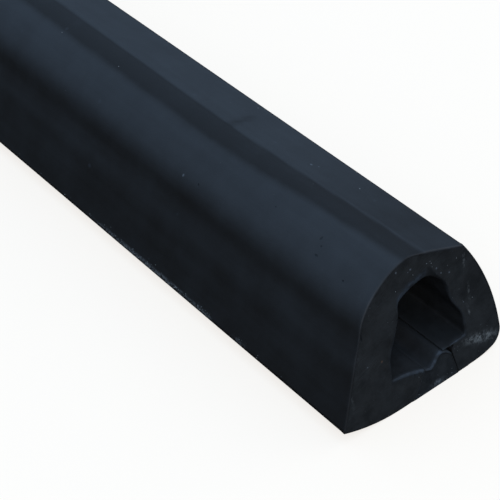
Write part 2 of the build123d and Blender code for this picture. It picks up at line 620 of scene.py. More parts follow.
@dataclass(frozen=True)
class RubberFinish:
    """Black rubber: its colours, its dust and how its surface is broken up."""

    name: str
    dark: tuple
    pale: tuple
    dust: tuple
    worn_and_highlight: tuple
    scuffed: tuple = (0.16, 0.16, 0.155)
    roughness: tuple = (0.45, 0.60)
    specular: tuple = (0.5, 0.5)
    film: float = 0.3
    specks: float = 0.5
    patch_scale: float = 28.0
    speck_scale: float = 330.0
    mottle_scale: float = 90.0
    mottle_share: float = 0.5
    grain_scale: float = 1500.0
    pits: float = 0.3
    streak_width: float = 120.0
    streak_share: float = 0.3
    saw_marks: float = 0.0
    bump: float = 0.25
    bump_depth: float = 0.25 * MM
    dust_dulls: float = 0.25
    pock_depth: float = 3.0
    pocks: tuple = ()

    def material(self, effects: SharedEffects) -> Material:
        """Builds the finish's material.

        Args:
            effects: The shared shader groups.

        Returns:
            The material.
        """
        made, wiring, shader = new_material(self.name)
        made.diffuse_color = rgba(self.dark)
        place = wiring.add("ShaderNodeTexCoord").outputs["Object"]
        grain = wiring.group(effects.grain, Vector=place, Grain_Scale=self.grain_scale,
                             Mottle_Scale=self.mottle_scale, Pits=self.pits)
        streaks = wiring.group(effects.streaks, Vector=place, Width=self.streak_width)
        mottle = wiring.mask(grain["Mottle"], 0.3, 0.7)
        drawn = wiring.mask(streaks["Streaks"], 0.3, 0.7)
        # The mesh's tone holds mostly painted light and shade: on the arch, sheen on the crown, shade
        # in its band and crease, a highlight streak on the left flank; on the strip's sawn end, shade
        # on its left part. It sets the colour and the specular level.
        tone = wiring.attribute("tone")
        share = wiring.math("ADD", wiring.math("MULTIPLY", mottle, self.mottle_share),
                            wiring.math("MULTIPLY", drawn, self.streak_share))
        middle = 0.5 - (self.mottle_share + self.streak_share) / 2
        share = wiring.math("ADD", wiring.math("ADD", share, tone), middle)
        share = wiring.add("ShaderNodeClamp", Value=share).outputs[0]
        colour = wiring.blend(share, rgba(self.dark), rgba(self.pale))
        dusted = wiring.group(effects.dust, Vector=place, Colour=colour, Dust=rgba(self.dust),
                              Amount=self.film, Patch_Scale=self.patch_scale,
                              Speck_Scale=self.speck_scale, Specks=self.specks)
        worn_and_highlight = wiring.group(effects.wear, Vector=place, Colour=dusted["Colour"],
                            Worn=rgba(self.worn_and_highlight), Scuffed=rgba(self.scuffed))
        tint, sunk = self._blemishes(wiring, effects, place, worn_and_highlight["Colour"])
        wiring.join(shader.inputs["Base Color"], tint)
        dull = wiring.math("ADD", wiring.spread(share, self.roughness),
                           wiring.math("MULTIPLY", dusted["Mask"], self.dust_dulls))
        wiring.join(shader.inputs["Roughness"], dull)
        height = grain["Height"]
        if self.saw_marks:
            height = wiring.math("ADD", height, self._saw(wiring, place))
        if sunk is not None:
            deep = wiring.math("MULTIPLY", sunk, self.pock_depth)
            height = wiring.math("SUBTRACT", height, deep)
        bump = wiring.add("ShaderNodeBump", Strength=self.bump, Distance=self.bump_depth,
                          Height=height)
        wiring.join(shader.inputs["Normal"], bump.outputs[0])
        wiring.join(shader.inputs["Specular IOR Level"], wiring.spread(share, self.specular))
        return made

    def _blemishes(self, wiring: Wiring, effects: SharedEffects, place: NodeSocket,
                   colour: NodeSocket) -> tuple:
        """Lays the finish's small blemishes over its colour.

        Args:
            wiring: The material's wiring.
            effects: The shared shader groups.
            place: Where the pattern is read.
            colour: The colour so far.

        Returns:
            The new colour, and a mask of what is sunk, or None.
        """
        sunk = None
        for pock in self.pocks:
            mask = wiring.group(effects.pock, Vector=place, Centre=[v * MM for v in pock.centre],
                                Size=[v * MM for v in pock.size])["Mask"]
            colour = wiring.blend(mask, colour, rgba(POCK_TINTS[pock.kind]))
            if pock.kind is PockKind.PIT:
                sunk = mask if sunk is None else wiring.math("MAXIMUM", sunk, mask)
        return colour, sunk

    def _saw(self, wiring: Wiring, place: NodeSocket) -> NodeSocket:
        """Adds the fine ridges that a saw leaves across a cut end.

        Args:
            wiring: The material's wiring.
            place: Where the pattern is read.

        Returns:
            The ridges' height.
        """
        turned = wiring.add("ShaderNodeMapping", Vector=place, Rotation=(0.0, 0.35, 0.0))
        drawn = wiring.vector("MULTIPLY", turned.outputs[0], (0.05, 1.0, 1.0))
        ridge = wiring.noise(drawn, 950.0, 3.0, 0.6)
        return wiring.math("MULTIPLY", ridge, self.saw_marks)


@dataclass(frozen=True)
class GritFinish:
    """Pale grit and crumbs of rubber."""

    name: str = "pale_grit"
    dark: tuple = (0.05, 0.05, 0.05)
    pale: tuple = (0.30, 0.30, 0.28)
    roughness: tuple = (0.95, 0.8)
    specular: float = 0.2

    def material(self) -> Material:
        """Builds the material, whose tone changes from grain to grain.

        Returns:
            The material.
        """
        made, wiring, shader = new_material(self.name)
        made.diffuse_color = rgba(self.pale)
        place = wiring.add("ShaderNodeTexCoord").outputs["Object"]
        tone = wiring.mask(wiring.noise(place, 240.0, 1.0), 0.4, 0.62)
        wiring.join(shader.inputs["Base Color"],
                    wiring.blend(tone, rgba(self.dark), rgba(self.pale)))
        wiring.join(shader.inputs["Roughness"], wiring.spread(tone, self.roughness))
        shader.inputs["Specular IOR Level"].default_value = self.specular
        return made


@dataclass(frozen=True)
class RubberSet:
    """The three finishes of a moulding, in the order of its zones."""

    skin: RubberFinish
    cut: RubberFinish
    channel: RubberFinish

    def materials(self, effects: SharedEffects) -> list[Material]:
        """Builds the three materials."""
        return [finish.material(effects) for finish in (self.skin, self.cut, self.channel)]


SKIN_POCKS = (
    Pock(PockKind.PIT, (-19.9, -239, 72.9), (1.5, 1.0, 2.0)),
    Pock(PockKind.PIT, (-22.4, -242, 71.6), (0.9, 1.3, 2.0)),
    Pock(PockKind.PIT, (-26.5, -243, 68.2), (0.8, 1.4, 2.0)),
    Pock(PockKind.PIT, (-32.0, -158, 62.8), (0.7, 0.8, 2.0)),
    Pock(PockKind.PIT, (-20.6, -206, 72.5), (0.6, 0.6, 2.0)),
    Pock(PockKind.PIT, (-28.1, -264, 66.8), (0.7, 0.8, 2.0)),
    Pock(PockKind.PIT, (20.0, 96, 72.6), (1.0, 1.4, 2.0)),
    Pock(PockKind.PIT, (-38.5, 60, 50.0), (1.2, 1.6, 2.0)),
    Pock(PockKind.PIT, (44.5, -60, 52.0), (1.0, 1.4, 2.0)),
    Pock(PockKind.PALE, (14.9, -193, 73.7), (0.9, 1.1, 2.0)),
    Pock(PockKind.PALE, (17.4, -196, 73.0), (0.5, 0.6, 2.0)),
    Pock(PockKind.PALE, (-32.4, -146, 62.3), (0.8, 0.8, 2.0)),
    Pock(PockKind.PALE, (3.0, 70, 77.0), (0.9, 1.6, 2.0)),
)
CUT_POCKS = (
    Pock(PockKind.PALE, (-10.2, -281.5, 73.4), (0.75, 5.0, 0.75)),
    Pock(PockKind.PALE, (-1.0, -281.5, 70.8), (0.95, 5.0, 0.65)),
    Pock(PockKind.PALE, (-2.9, -282, 70.2), (0.45, 5.0, 0.4)),
    Pock(PockKind.PALE, (15.6, -284, 63.4), (0.7, 5.0, 0.7)),
    Pock(PockKind.PALE, (18.3, -285, 59.6), (0.6, 5.0, 0.6)),
    Pock(PockKind.PALE, (23.6, -286, 57.4), (0.75, 5.0, 0.6)),
    Pock(PockKind.PALE, (31.0, -290, 37.0), (0.6, 5.0, 0.6)),
    Pock(PockKind.PALE, (-35.0, -292, 33.8), (0.7, 5.0, 0.5)),
    Pock(PockKind.BROWN, (-26.0, -292, 32.3), (0.95, 5.0, 0.95)),
    Pock(PockKind.PIT, (-36.5, -288, 51.0), (0.7, 5.0, 2.4)),
    Pock(PockKind.PIT, (21.0, 300, 63.0), (0.8, 5.0, 1.6)),
    Pock(PockKind.PALE, (-30.0, 300, 40.0), (0.9, 5.0, 0.6)),
)
ARCH_RUBBER = RubberSet(
    skin=RubberFinish("moulded_black_rubber", dark=(0.0104, 0.0074, 0.0052),
                      pale=(0.0235, 0.0226, 0.0222), dust=(0.055, 0.060, 0.066),
                      worn_and_highlight=(0.024, 0.026, 0.029), roughness=(0.48, 0.56), specular=(0.26, 0.60),
                      film=0.07, specks=0.35, patch_scale=34.0, speck_scale=120.0,
                      mottle_scale=60.0, bump=0.4, bump_depth=0.26 * MM, streak_width=140.0,
                      mottle_share=0.16, streak_share=0.12, pocks=SKIN_POCKS),
    cut=RubberFinish("sawn_black_rubber", dark=(0.0087, 0.0078, 0.0068),
                     pale=(0.0248, 0.0228, 0.0203), dust=(0.075, 0.074, 0.070),
                     worn_and_highlight=(0.034, 0.038, 0.043), scuffed=(0.20, 0.196, 0.18),
                     roughness=(0.74, 0.90), specular=(0.26, 0.30), film=0.22, specks=0.9,
                     patch_scale=46.0, speck_scale=260.0, mottle_scale=130.0,
                     grain_scale=1100.0, pits=0.7, mottle_share=0.75, streak_share=0.0,
                     saw_marks=1.2, bump=0.7, bump_depth=0.4 * MM, pocks=CUT_POCKS),
    # Its pale blue-grey edge colour is painted highlight along the channel's edges, over real abrasion.
    channel=RubberFinish("channel_black_rubber", dark=(0.0135, 0.0128, 0.0120),
                         pale=(0.0270, 0.0262, 0.0255), dust=(0.05, 0.051, 0.052),
                         worn_and_highlight=(0.052, 0.060, 0.070), roughness=(0.6, 0.75),
                         specular=(0.25, 0.3), film=0.2, specks=0.3, patch_scale=40.0,
                         bump=0.4, streak_share=0.4))
STRIP_RUBBER = RubberSet(
    skin=RubberFinish("strip_black_rubber", dark=(0.006, 0.006, 0.0065),
                      pale=(0.014, 0.0145, 0.0155), dust=(0.05, 0.053, 0.056),
                      worn_and_highlight=(0.022, 0.025, 0.029), roughness=(0.5, 0.65), film=0.15,
                      streak_share=0.4),
    cut=RubberFinish("strip_sawn_rubber", dark=(0.0105, 0.0105, 0.0103),
                     pale=(0.0250, 0.0245, 0.0235), dust=(0.065, 0.065, 0.062),
                     worn_and_highlight=(0.040, 0.047, 0.055), scuffed=(0.20, 0.21, 0.21),
                     roughness=(0.76, 0.92), specular=(0.24, 0.28), film=0.25, specks=0.8,
                     patch_scale=60.0, speck_scale=300.0, mottle_scale=170.0,
                     grain_scale=1300.0, pits=0.7, mottle_share=0.75,
                     streak_share=0.0, saw_marks=0.9, bump=0.7,
                     bump_depth=0.35 * MM),
    channel=replace(ARCH_RUBBER.channel, name="strip_top_rubber"))


# --- Geometry node trees ---


def run_nodes(source: Object, tree: NodeTree, name: str,
              values: dict) -> Object:
    """Runs a geometry tree on a piece and keeps its result as a plain mesh.

    Args:
        source: The piece that the tree reads.
        tree: The geometry tree.
        name: The new piece's name.
        values: A value for each named input of the tree.

    Returns:
        A new object that holds the result. The source has no modifier left.
    """
    modifier = source.modifiers.new(tree.name, "NODES")
    modifier.node_group = tree
    for item in tree.interface.items_tree:
        if item.in_out == "INPUT" and item.name in values:
            modifier[item.identifier] = values[item.name]
    bpy.context.view_layer.update()
    shaped = source.evaluated_get(bpy.context.evaluated_depsgraph_get())
    mesh = bpy.data.meshes.new_from_object(shaped)
    source.modifiers.remove(modifier)
    mesh.name = name
    return add_object(name, mesh)


@dataclass(frozen=True)
class WeatheredSkin:
    """Shrinks and waves a moulding a little, as cured rubber does, and dresses its zones."""

    wave_depth: float = 0.35 * MM
    wave_scale: float = 16.0
    ripple_depth: float = 0.03 * MM
    ripple_scale: float = 75.0
    seed: int = 7

    def tree(self, name: str, materials: list) -> NodeTree:
        """Builds the tree.

        Args:
            name: The tree's name.
            materials: One material for each zone, in order.

        Returns:
            The geometry tree.
        """
        wiring, given, wanted = open_group(
            name, "GeometryNodeTree", {"Geometry": GEOMETRY, **self.values()},
            {"Geometry": GEOMETRY})
        place = wiring.add("GeometryNodeInputPosition").outputs[0]
        drawn = wiring.vector("MULTIPLY", place, (1.0, 0.35, 1.0))
        seed = wiring.math("MULTIPLY", given["Seed"], 3.7)
        kind = {"noise_dimensions": "4D"}
        wave = wiring.add("ShaderNodeTexNoise", kind, Vector=drawn, W=seed,
                          Scale=given["Wave Scale"], Detail=1.0).outputs[0]
        ripple = wiring.add("ShaderNodeTexNoise", kind, Vector=drawn, W=seed,
                            Scale=given["Ripple Scale"], Detail=2.0).outputs[0]
        deep = wiring.math("ADD", wiring.math("MULTIPLY", wave, given["Wave Depth"]),
                           wiring.math("MULTIPLY", ripple, given["Ripple Depth"]))
        deep = wiring.math("MULTIPLY", deep, wiring.named("free"))
        inwards = wiring.math("MULTIPLY", deep, -1.0)
        normal = wiring.add("GeometryNodeInputNormal").outputs[0]
        moved = wiring.add("GeometryNodeSetPosition", Geometry=given["Geometry"],
                           Offset=wiring.vector("SCALE", normal, inwards))
        shape = wiring.add("GeometryNodeRealizeInstances", Geometry=moved.outputs[0]).outputs[0]
        zone = wiring.named("zone", "INT")
        for number_of_zone, material in enumerate(materials):
            here = wiring.add("FunctionNodeCompare", {"data_type": "INT", "operation": "EQUAL"})
            ints = [s for s in here.inputs if s.type == "INT"]
            wiring.join(ints[0], zone)
            wiring.join(ints[1], number_of_zone)
            shape = wiring.add("GeometryNodeSetMaterial", Geometry=shape,
                               Selection=here.outputs[0], Material=material).outputs[0]
        wiring.join(wanted["Geometry"], shape)
        return wiring.tree

    def values(self) -> dict:
        """The tree's inputs by name, with their values."""
        return {"Wave Depth": self.wave_depth, "Wave Scale": self.wave_scale,
                "Ripple Depth": self.ripple_depth, "Ripple Scale": self.ripple_scale,
                "Seed": self.seed}


@dataclass(frozen=True)
class GritScatter:
    """Small grains strewn over a piece where its grit value is high."""

    density: float = 1500000.0
    smallest: float = 0.12 * MM
    largest: float = 0.36 * MM
    least_stretch: tuple = (0.6, 0.6, 0.35)
    most_stretch: tuple = (1.3, 1.3, 0.7)
    seed: int = 11

    def tree(self, material: Material) -> NodeTree:
        """Builds the tree.

        Args:
            material: The grains' material.

        Returns:
            The geometry tree.
        """
        wiring, given, wanted = open_group(
            "grit_scatter", "GeometryNodeTree", {"Geometry": GEOMETRY, **self.values()},
            {"Geometry": GEOMETRY})
        strewn = wiring.add("GeometryNodeDistributePointsOnFaces",
                            {"distribute_method": "RANDOM"}, Mesh=given["Geometry"],
                            Density=wiring.math("MULTIPLY", wiring.named("grit"),
                                                given["Density"]),
                            Seed=given["Seed"])
        grain = wiring.add("GeometryNodeMeshIcoSphere", Radius=1.0, Subdivisions=1)
        size = wiring.add("FunctionNodeRandomValue", {"data_type": "FLOAT"}, Seed=given["Seed"])
        floats = [s for s in size.inputs if s.type == "VALUE"]
        wiring.join(floats[0], given["Smallest"])
        wiring.join(floats[1], given["Largest"])
        amount = [s for s in size.outputs if s.type == "VALUE"][0]
        spread = wiring.add("FunctionNodeRandomValue", {"data_type": "FLOAT_VECTOR"},
                            Seed=wiring.math("ADD", given["Seed"], 1.0))
        spread.inputs[0].default_value = self.least_stretch
        spread.inputs[1].default_value = self.most_stretch
        laid = wiring.add("GeometryNodeInstanceOnPoints", Points=strewn.outputs["Points"],
                          Instance=grain.outputs["Mesh"], Rotation=strewn.outputs["Rotation"],
                          Scale=wiring.vector("SCALE", spread.outputs[0], amount))
        whole_mesh = wiring.add("GeometryNodeRealizeInstances", Geometry=laid.outputs[0])
        dressed = wiring.add("GeometryNodeSetMaterial", Geometry=whole_mesh.outputs[0],
                             Material=material)
        wiring.join(wanted["Geometry"], dressed.outputs[0])
        return wiring.tree

    def values(self) -> dict:
        """The tree's inputs by name, with their values."""
        return {"Density": self.density, "Smallest": self.smallest, "Largest": self.largest,
                "Seed": self.seed}


# --- The mouldings ---


@dataclass
class Moulding:
    """A rubber section run along the ramp, with rounded, sawn ends."""

    name: str
    length: float
    front_lean: float
    row_step: float = 3.0 * MM
    row_crowding: float = 1.12
    cap_step: float = 1.15 * MM
    rounding_steps: int = 5
    wall_wear_and_highlight: float = 0.4
    resting_height: float = 2 * MM
    saw_depth: float = 0.16 * MM

    def front(self, z: float | np.ndarray) -> float | np.ndarray:
        """The front end's place along Y at height z."""
        return -self.length / 2 + math.tan(self.front_lean) * z

    def hollow(self, x: float, y: float, z: float, zone: Zone) -> float:
        """How far the surface is drawn inside its section at a point, in metres."""
        return 0.0

    def cut_hollow(self, x: float, z: float) -> float:
        """How far the sawn end lies inside its plane at a point.

        Args:
            x: Place across the ramp.
            z: Height.

        Returns:
            The depth, in metres.
        """
        broad, fine = noise.noise(Vector((x, z, 0.3)) * 90), noise.noise(Vector((x, z, 0.9)) * 420)
        return self.saw_depth * (1.3 + broad + 0.35 * fine)

    def tone(self, place: Vector, cut: bool) -> float:
        """How much paler, or darker below 0, the rubber is at a place."""
        return 0.0

    def scuff(self, place: Vector, cut: bool) -> float:
        """How scuffed the rubber is at a place, from 0 to 1."""
        return 0.0

    def grit(self, place: Vector, cut: bool) -> float:
        """How much grit lies at a place, from 0 to 1."""
        return 0.0

    def build(self, outline: Outline) -> Object:
        """Makes the moulding's mesh.

        Args:
            outline: The closed section.

        Returns:
            The new object, with the values that its node trees and materials read.
        """
        base, inward, reach = outline.column("place"), outline.inward(), outline.reach()
        radius, flat, edge_wear_and_highlight = outline.column("radius"), outline.flatness(), outline.column("wear")
        around = len(base)
        rows, wear = [], []

        def ring(at_back: bool, share: float) -> None:
            """Adds one ring of an end's rounding.

            Args:
                at_back: Whether it is the back end.
                share: How far round the edge the ring is, from 0 on the wall to 1 on the cut.
            """
            angle = share * math.pi / 2
            across = (1 - flat) * (1 - math.cos(angle)) + flat * share
            along = radius * ((1 - flat) * (1 - math.sin(angle)) + flat * (1 - share))
            edge = base + reach * across[:, None]
            y = self.length / 2 - along if at_back else self.front(edge[:, 1]) + along
            rows.append(np.stack([edge[:, 0], y, edge[:, 1]], axis=1))
            wear.append(edge_wear_and_highlight * (self.wall_wear_and_highlight if share == 0 else 1.0))

        shares = [i / self.rounding_steps for i in range(self.rounding_steps + 1)]
        for share in reversed(shares):
            ring(False, share)
        start_y, end_y = rows[-1][:, 1], self.length / 2 - radius
        count = math.ceil(self.length / self.row_step)
        for i in range(1, count):
            y = start_y + (end_y - start_y) * (i / count) ** self.row_crowding
            rows.append(np.stack([base[:, 0], y, base[:, 1]], axis=1))
            wear.append(np.zeros(around))
        for share in shares:
            ring(True, share)

        last = len(rows) - 1
        for j, row in enumerate(rows):
            share = min(1.0, min(j, last - j) / self.rounding_steps)
            for i, point in enumerate(outline.points):
                x, y, z = row[i]
                deep = self.hollow(x, y, z, point.zone) * share
                row[i, 0] += inward[i, 0] * deep
                row[i, 2] = max(0.0, z + inward[i, 1] * deep)

        mesh = MeshParts()
        for j, (row, worn_and_highlight) in enumerate(zip(rows, wear)):
            inside = self.rounding_steps < j < last - self.rounding_steps
            for place, value, point in zip(row, worn_and_highlight, outline.points):
                free = point.free if inside and place[2] > self.resting_height else 0.0
                mesh.vertex(Vector(place), float(value), free)
        for j in range(last):
            for i in range(around):
                k = (i + 1) % around
                mesh.face((j * around + i, (j + 1) * around + i, (j + 1) * around + k,
                           j * around + k), outline.points[i].zone)
        self._cap(rows[-1], len(mesh.places) - around, True, mesh)
        self._cap(rows[0], 0, False, mesh)
        return mesh.finish(self)

    def _cap(self, rim: np.ndarray, first: int, at_back: bool, mesh: "MeshParts") -> None:
        """Closes one end with a fine triangle mesh, so that the cut can be uneven.

        Args:
            rim: The end's innermost ring, (x, y, z) rows.
            first: Index of the rim's first vertex in the mesh.
            at_back: Whether this is the back end.
            mesh: The mesh parts, which this adds to.
        """
        around = len(rim)
        flat = [Vector((p[0], p[2])) for p in rim]
        low, high = rim[:, (0, 2)].min(axis=0), rim[:, (0, 2)].max(axis=0)
        counts = np.ceil((high - low) / self.cap_step).astype(int)
        inside = [Vector((low[0] + (i + 0.5 + 0.5 * (j % 2)) * self.cap_step,
                          low[1] + (j + 0.5) * self.cap_step))
                  for i in range(counts[0]) for j in range(counts[1])]
        inside = [p for p in inside if self._clear(p, rim)]
        edges = [(i, (i + 1) % around) for i in range(around)]
        found, _, triangles, origins, _, _ = geometry.delaunay_2d_cdt(
            flat + inside, edges, [], 1, 1e-7)
        index = {}
        for k, source in enumerate(origins):
            if source and source[0] < around:
                index[k] = first + source[0]
                continue
            x, z = found[k]
            deep = self.cut_hollow(x, z)
            y = self.length / 2 - deep if at_back else self.front(z) + deep
            index[k] = mesh.vertex(Vector((x, y, z)), 0.0, 0.0, True)
        for triangle in triangles:
            corners = [index[k] for k in triangle]
            mesh.face(tuple(reversed(corners)) if at_back else tuple(corners), Zone.CUT)

    def _clear(self, point: Vector, rim: np.ndarray) -> bool:
        """Whether a point lies inside the rim and well away from its edge.

        Args:
            point: The point, (x, z).
            rim: The end's innermost ring, (x, y, z) rows.

        Returns:
            Whether the point can be used.
        """
        x, z = rim[:, 0], rim[:, 2]
        x2, z2 = np.roll(x, -1), np.roll(z, -1)
        away = np.hypot(x - point.x, z - point.y).min() > 0.6 * self.cap_step
        crosses = (z > point.y) != (z2 > point.y)
        at = x + (point.y - z) * (x2 - x) / np.where(z2 == z, 1e-12, z2 - z)
        return bool(away and np.count_nonzero(crosses & (point.x < at)) % 2)


@dataclass
class MeshParts:
    """The vertices and faces of a moulding as they are gathered."""

    places: list = field(default_factory=list)
    wear: list = field(default_factory=list)
    free: list = field(default_factory=list)
    on_cut: list = field(default_factory=list)
    faces: list = field(default_factory=list)
    zones: list = field(default_factory=list)

    def vertex(self, place: Vector, wear: float, free: float, on_cut: bool = False) -> int:
        """Adds a vertex.

        Args:
            place: Where it is.
            wear: How pale the edge colour is there, from real abrasion and painted highlight.
            free: How freely the weathering may move it.
            on_cut: Whether it lies on a sawn end.

        Returns:
            The vertex's number.
        """
        self.places.append(place)
        self.wear.append(wear)
        self.free.append(free)
        self.on_cut.append(on_cut)
        return len(self.places) - 1

    def face(self, corners: tuple, zone: Zone) -> None:
        """Adds a face."""
        self.faces.append(corners)
        self.zones.append(int(zone))

    def finish(self, moulding: Moulding) -> Object:
        """Makes the object and writes its values.

        Args:
            moulding: The moulding, which says where it is pale, scuffed or gritty.

        Returns:
            The object.
        """
        mesh = bpy.data.meshes.new(moulding.name + "_section")
        mesh.from_pydata([tuple(p) for p in self.places], [], self.faces)
        mesh.polygons.foreach_set("use_smooth", [True] * len(self.faces))
        marks = {"wear": self.wear, "free": self.free}
        for mark in ("tone", "scuff", "grit"):
            read = getattr(moulding, mark)
            marks[mark] = [read(p, c) for p, c in zip(self.places, self.on_cut)]
        for mark, values in marks.items():
            mesh.attributes.new(mark, "FLOAT", "POINT").data.foreach_set("value", values)
        mesh.attributes.new("zone", "INT", "FACE").data.foreach_set("value", self.zones)
        mesh.update()
        return add_object(mesh.name, mesh)


@dataclass(frozen=True)
class Mark:
    """A dent, pit or nick in the outer skin."""

    x: float
    y: float
    width: float
    length: float
    depth: float

    def depth_at(self, x: float, y: float) -> float:
        """The mark's depth at a place seen from above."""
        away = ((x - self.x) / self.width) ** 2 + ((y - self.y) / self.length) ** 2
        return self.depth * math.exp(-away) if away < 9 else 0.0


@dataclass(frozen=True)
class Scratch:
    """A thin pale scratch on a sawn end: its middle, its lean and its half length."""

    x: float
    z: float
    lean: float
    half_length: float
    half_width: float = 0.35 * MM

    def at(self, place: Vector) -> float:
        """How strongly it shows at a place, from 0 to 1."""
        line_x = self.x + (self.z - place.z) * self.lean
        return bell(place.x, line_x, self.half_width) * bell(place.z, self.z, self.half_length)


@dataclass
class Arch(Moulding):
    """The arch: two thick walls, their base lips and the web in the crown, as one moulding."""

    step: float = 1.7 * MM
    base_width: float = 110 * MM
    height: float = 78 * MM
    left_toe_lift: float = 6.6 * MM
    left_toe_run: float = 37 * MM
    right_toe_lift: float = 4.6 * MM
    right_toe_run: float = 24 * MM
    right_toe_radius: float = 7.5 * MM
    left_shoulder_in: float = 17.7 * MM
    left_shoulder_drop: float = 24.1 * MM
    left_haunch_in: float = 30.6 * MM
    left_haunch_drop: float = 8.2 * MM
    right_shoulder_in: float = 20.3 * MM
    right_shoulder_drop: float = 10.6 * MM
    right_flank_bulge: float = 5 * MM
    crown_x: float = -2.5 * MM
    valley_x: float = 11 * MM
    valley_drop: float = 3.1 * MM
    valley_fall: float = 0.30
    channel_x: float = 4.6 * MM
    channel_width: float = 50.4 * MM
    channel_side_height: float = 9 * MM
    base_thickness: float = 18.2 * MM
    crown_thickness: float = 15 * MM
    waist_width: float = 36 * MM
    waist_below_roof: float = 16 * MM
    bevel_depth: float = 1.9 * MM
    slit_x: float = 10 * MM
    slit_half: float = 9.8 * MM
    slit_left_flare: float = 9.2 * MM
    slit_right_flare: float = 3.2 * MM
    slit_flare_height: float = 13.2 * MM
    left_lip_droop: float = 4.8 * MM
    right_lip_rise: float = 0.5 * MM
    right_waist_in: float = 0.8 * MM
    right_waist_below: float = 1 * MM
    crown_z: float = 60 * MM
    marked_z: float = 40 * MM
    left_side_x: float = -30 * MM
    toe_side_x: float = -45 * MM
    valley_hollow: float = 0.4 * MM
    groove: Band = Band(49 * MM, 4.5 * MM)
    groove_depth: float = 0.45 * MM
    flank_highlight_band: Band = Band(39.5 * MM, 4 * MM)
    toe_scuff: Band = Band(7.4 * MM, 1.1 * MM)
    toe_grit: Band = Band(8.0 * MM, 1.1 * MM)
    roof_grit: Band = Band(66 * MM, 5 * MM)
    scuff_place: tuple = (40 * MM, 11.6 * MM)
    scuff_turn: tuple = (0.96, -0.27)
    scuff_along: Band = Band(0.5 * MM, 9.5 * MM)
    scuff_across: Band = Band(0.0, 2.1 * MM)
    fold_y: float = -141 * MM
    fold_width: float = 2.2 * MM
    lip_nose: tuple = (
        (2.2 * MM, 0.0), (-6.4 * MM, -0.1 * MM), (-6.4 * MM, -0.5 * MM), (1.2 * MM, -0.9 * MM),
        (1.2 * MM, -1.7 * MM), (0.0, -3.5 * MM),
    )
    scratches: tuple = (
        Scratch(-47.3 * MM, 25.0 * MM, 0.05, 7.0 * MM),
        Scratch(34.2 * MM, 60.5 * MM, -0.13, 5.5 * MM),
        Scratch(35.3 * MM, 40.4 * MM, -0.02, 4.0 * MM),
        Scratch(34.0 * MM, 30.5 * MM, 0.3, 3.0 * MM),
    )
    marks: tuple = (
        Mark(12.0 * MM, -141 * MM, 9.0 * MM, 2.2 * MM, 0.35 * MM),
        Mark(-23.0 * MM, -240 * MM, 4.0 * MM, 4.5 * MM, 0.35 * MM),
        Mark(24.0 * MM, 40 * MM, 2.6 * MM, 4.0 * MM, 0.4 * MM),
        Mark(-14.0 * MM, 150 * MM, 2.4 * MM, 7.0 * MM, 0.4 * MM),
        Mark(16.0 * MM, -20 * MM, 8.0 * MM, 2.4 * MM, 0.25 * MM),
    )

    def outline(self) -> Outline:
        """The arch's section as one closed loop, broken at the slit in its base.

        Returns:
            The outline, from the slit's right foot round the outside and back through the channel.
        """
        step, loop = self.step, Outline()
        left, right = self.slit_x - self.slit_half, self.slit_x + self.slit_half
        left_foot, right_foot = (left - self.slit_left_flare, 0.0), (right + self.slit_right_flare, 0.0)
        self._outside(loop, left_foot, right_foot, self.base_width / 2)
        floor, half, fine = self.base_thickness, self.channel_width / 2, 0.15 * MM
        left_tip = (left, floor - self.left_lip_droop)
        kink_left, kink_right = (left, self.slit_flare_height), (right, self.slit_flare_height)
        left_floor = (self.channel_x - half, floor)
        right_floor = (self.channel_x + half, floor + self.right_lip_rise)
        loop.add_seam(line(left_foot, kink_left, step), (fine, fine))
        loop.add_seam(line(kink_left, left_tip, 0.2 * MM), (fine, 0.8 * MM))
        # The channel floor's front edge is full pale: painted highlight on its rounded edge, over real
        # abrasion.
        loop.add(sweep(left_tip, left_floor, (-1, 0.42), (-1, 0), step), Zone.CHANNEL,
                 (1.3 * MM, 0.9 * MM), (1.0, 0.35))
        self._channel(loop, left_floor, right_floor)
        self._nose(loop, right_floor, kink_right, fine)
        loop.add_seam(line(kink_right, right_foot, step), (fine, fine))
        return loop

    def _nose(self, loop: Outline, right_floor: tuple, kink: tuple, fine: float) -> None:
        """Adds the right lip's top, the thin nose that runs out over the strip, and its hollow.

        Args:
            loop: The outline to add to.
            right_floor: The channel's lower right corner.
            kink: Where the slit's right side begins to flare.
            fine: Radius of the rounding along the seams.
        """
        shelf, nose, under, throat, pocket, below = (
            (kink[0] + x, self.base_thickness + z) for x, z in self.lip_nose)
        tip, short = 0.08 * MM, 0.8 * MM
        top = sweep(right_floor, shelf, (-1, -0.16), (-1, -0.02), self.step)
        loop.add(top, Zone.CHANNEL, (0.9 * MM, 0.4 * MM), (0.35, 0.8), 0.2)
        loop.add(line(shelf, nose, short), Zone.CHANNEL, (fine, tip), (0.8, 1.0), 0.0)
        loop.add(line(nose, under, 0.3 * MM), Zone.SKIN, (tip, tip), (0.8, 0.0), 0.0)
        loop.add_seam(line(under, throat, short), (tip, fine))
        for run in (line(throat, pocket, short), line(pocket, below, short),
                    line(below, kink, self.step)):
            loop.add_seam(run, (fine, fine))

